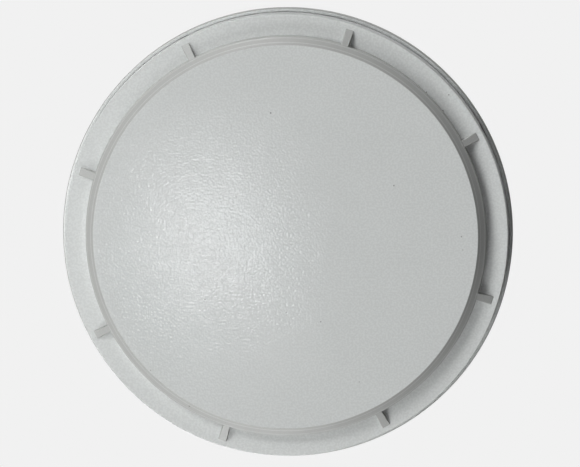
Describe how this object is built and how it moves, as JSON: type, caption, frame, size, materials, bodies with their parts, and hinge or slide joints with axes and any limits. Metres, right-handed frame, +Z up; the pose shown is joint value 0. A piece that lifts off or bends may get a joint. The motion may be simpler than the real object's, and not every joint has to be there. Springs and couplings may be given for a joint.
{
  "type": "fire sprinkler head",
  "caption": "Concealed pendent fire sprinkler: round white cover plate on a trim ring and collar, over a cup with a glass bulb, yoke, drop-down deflector and pipe-thread inlet.",
  "frame": {"origin": "on the sprinkler's axis at the lower end of the inlet thread, where the wrench hexagon begins", "axes": "+Z up along the inlet thread into the pipe fitting, -Z down to the cover plate that faces the room, X along the line through the two guide pins"},
  "size_m": [0.084, 0.084, 0.0771],
  "materials": {
    "cast_brass": "turned brass, satin, slightly tarnished",
    "plated_steel": "zinc-plated pressed sheet, satin",
    "bronze": "cast bronze, fine grain",
    "bulb_glass": "clear glass",
    "red_liquid": "red liquid",
    "stainless": "drawn stainless steel",
    "seal_film": "white fluoropolymer film",
    "copper_alloy": "pressed copper alloy",
    "white_paint": "near-white powder coat with a fine orange peel",
    "solder": "dull low-melting solder"
  },
  "bodies": {
    "sprinkler": {"inlet_body": "cast_brass", "support_cup": "plated_steel", "lock_washer": "plated_steel", "yoke": "bronze", "guide_bushes": "cast_brass", "load_screw": "cast_brass", "glass_bulb": "bulb_glass", "bulb_liquid": "red_liquid", "pip_cap": "bronze", "seal_spring": "stainless", "seal_film": "seal_film"},
    "deflector": {"deflector": "copper_alloy", "guide_pins": "stainless", "stop_clips": "stainless"},
    "retainer": {"retainer_collar": "plated_steel", "trim_ring": "white_paint", "ejection_springs": "stainless", "collar_rivets": "stainless"},
    "cover": {"cover_plate": "white_paint", "solder_pads": "solder"}
  },
  "joints": [
    {"name": "cover_adjust", "type": "slide", "parent": "sprinkler", "child": "retainer", "axis": [0, 0, 1], "range_m": [-0.0064, 0.0064]},
    {"name": "cover_drop", "type": "slide", "parent": "retainer", "child": "cover", "axis": [0, 0, -1], "range_m": [0, 0.045]},
    {"name": "deflector_drop", "type": "slide", "parent": "sprinkler", "child": "deflector", "axis": [0, 0, -1], "range_m": [0, 0.015]}
  ],
  "couplings": [
    {"joint": "deflector_drop", "follows": "cover_drop", "ratio": 0.33333}
  ]
}
